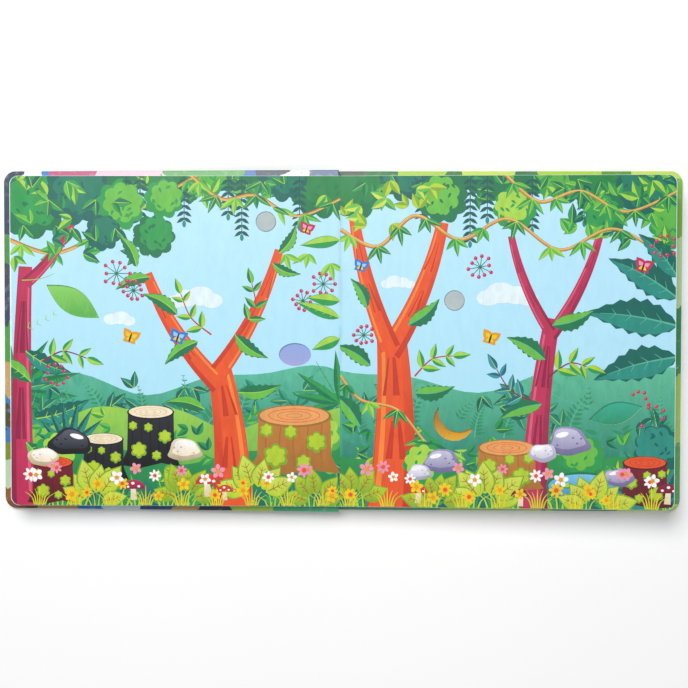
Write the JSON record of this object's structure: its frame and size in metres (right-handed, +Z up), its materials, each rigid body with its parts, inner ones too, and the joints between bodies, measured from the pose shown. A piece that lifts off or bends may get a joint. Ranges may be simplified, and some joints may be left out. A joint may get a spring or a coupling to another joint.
{
  "type": "sound book",
  "caption": "Open children's board book with press-pad sounds, a hard printed case, a swinging front cover and a battery sound module in its back.",
  "frame": {"origin": "on the table below the middle of the open book", "axes": "+X to the reader's right, across both pages; +Y to the head of the pages; +Z up"},
  "size_m": [0.406, 0.203, 0.0262],
  "materials": {
    "cover_print": "gloss printed wrap on board",
    "page_card": "varnished printed board page",
    "print_teal": "varnished print",
    "print_green": "varnished print",
    "print_leaf": "varnished print",
    "print_orange": "varnished print",
    "print_magenta": "varnished print",
    "pad_film": "satin",
    "circuit_film": "clear film with printed tracks",
    "foam": "white foam",
    "steel": "plain",
    "white_plastic": "moulded, fine grain",
    "black_plastic": "moulded",
    "circuit_board": "solder mask",
    "epoxy": "poured resin",
    "cone_film": "clear film"
  },
  "bodies": {
    "right_half": {"back_cover": "cover_print", "foam_block": "foam", "ribbon_cable": "circuit_film", "right_pages": "page_card", "right_snap_dome": "steel", "right_touch_foil": "circuit_film", "right_print_hills": "print_teal", "right_print_meadow": "print_green", "right_print_tree": "print_orange", "right_print_sapling": "print_magenta", "right_print_bush": "print_teal", "right_print_canopy": "print_leaf", "module_housing": "white_plastic", "module_lid": "white_plastic", "lid_screw_1": "steel", "lid_screw_2": "steel", "lid_screw_3": "steel", "lid_screw_4": "steel", "circuit_board": "circuit_board", "sound_chip": "epoxy", "speaker_frame": "steel", "speaker_cone": "cone_film", "switch_frame": "steel", "battery_door": "white_plastic", "battery_door_screw": "steel", "button_cell_1": "steel", "button_cell_2": "steel", "button_cell_3": "steel", "cell_strap": "steel", "door_strap": "steel", "positive_contact": "steel", "negative_contact": "steel"},
    "left_half": {"front_cover": "cover_print", "left_pages": "page_card", "left_snap_dome": "steel", "left_touch_foil": "circuit_film", "left_print_hills": "print_teal", "left_print_meadow": "print_green", "left_print_sapling": "print_magenta", "left_print_tree": "print_orange", "left_print_canopy": "print_leaf"},
    "spine": {"spine_board": "cover_print"},
    "left_button": {"left_sound_button": "pad_film"},
    "right_button": {"right_sound_button": "pad_film"},
    "switch_knob": {"power_switch": "black_plastic"}
  },
  "joints": [
    {"name": "front_cover_hinge", "type": "hinge", "parent": "right_half", "child": "left_half", "pos_m": [-0.00024, 0, 0.0175], "axis": [0, 1, 0], "range_deg": [0, 177]},
    {"name": "spine_hinge", "type": "hinge", "parent": "right_half", "child": "spine", "pos_m": [-0.00354, 0, 0], "axis": [0, 1, 0], "range_deg": [0, 91]},
    {"name": "left_button_press", "type": "slide", "parent": "left_half", "child": "left_button", "axis": [-0.0052, 0, -1], "range_m": [0, 0.00025], "stiffness_N_per_m": 400, "springref_m": -0.0002},
    {"name": "right_button_press", "type": "slide", "parent": "right_half", "child": "right_button", "axis": [0.0461, 0, -0.9989], "range_m": [0, 0.00025], "stiffness_N_per_m": 400, "springref_m": -0.0002},
    {"name": "power_switch_slide", "type": "slide", "parent": "right_half", "child": "switch_knob", "axis": [1, 0, 0], "range_m": [0, 0.003]}
  ],
  "couplings": [
    {"joint": "spine_hinge", "follows": "front_cover_hinge", "ratio": 0.50848}
  ]
}
